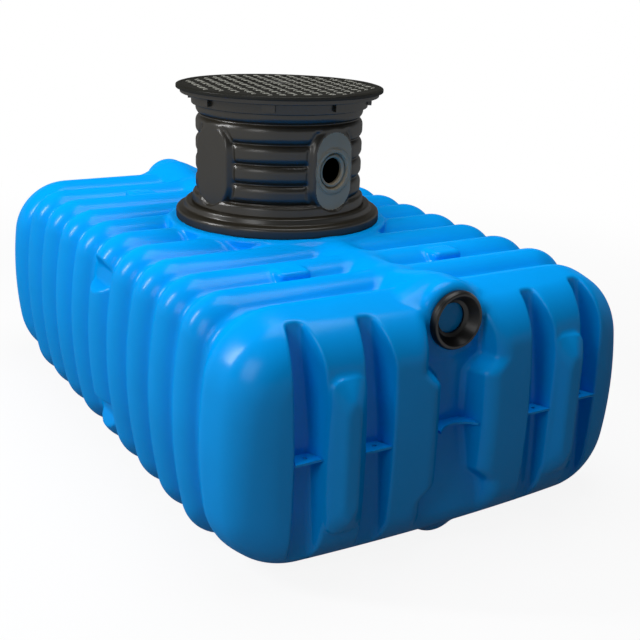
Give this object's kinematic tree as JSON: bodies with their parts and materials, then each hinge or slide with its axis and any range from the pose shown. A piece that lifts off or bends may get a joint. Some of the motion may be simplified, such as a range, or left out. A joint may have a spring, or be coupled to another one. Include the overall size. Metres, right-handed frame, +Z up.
{
  "type": "underground rainwater tank",
  "caption": "Flat underground rainwater tank: a long ribbed plastic shell with a pipe seal in each end and a ribbed access neck with a round tread-pattern lid.",
  "frame": {"origin": "on the floor under the middle of the tank", "axes": "+Y along the tank towards its back end, +X to the right seen from the front end, +Z up along the neck"},
  "size_m": [1.58, 2.5562, 1.362],
  "materials": {
    "tank_plastic": "smooth moulded polyethylene, bright blue, soft gloss",
    "neck_plastic": "moulded polyethylene, dark grey, satin",
    "lid_plastic": "moulded polyethylene, near black, tread pattern",
    "seal_rubber": "black rubber"
  },
  "bodies": {
    "root": {"left_wall": "tank_plastic", "right_wall": "tank_plastic", "upper_left_corner": "tank_plastic", "upper_right_corner": "tank_plastic", "lower_left_corner": "tank_plastic", "lower_right_corner": "tank_plastic", "floor": "tank_plastic", "roof_front_left": "tank_plastic", "roof_front_right": "tank_plastic", "roof_back_left": "tank_plastic", "roof_back_right": "tank_plastic", "front_pipe_dome": "tank_plastic", "back_pipe_dome": "tank_plastic", "neck_platform": "tank_plastic", "roof_bosses": "tank_plastic", "front_end": "tank_plastic", "back_end": "tank_plastic", "front_foot": "tank_plastic", "back_foot": "tank_plastic", "front_webs": "tank_plastic", "back_webs": "tank_plastic", "neck_flange": "neck_plastic", "neck_front": "neck_plastic", "neck_right": "neck_plastic", "neck_back": "neck_plastic", "neck_left": "neck_plastic", "neck_collar": "neck_plastic", "collar_lugs": "neck_plastic", "front_seal": "seal_rubber", "back_seal": "seal_rubber", "neck_seal": "seal_rubber", "lid": "lid_plastic"}
  },
  "joints": []
}
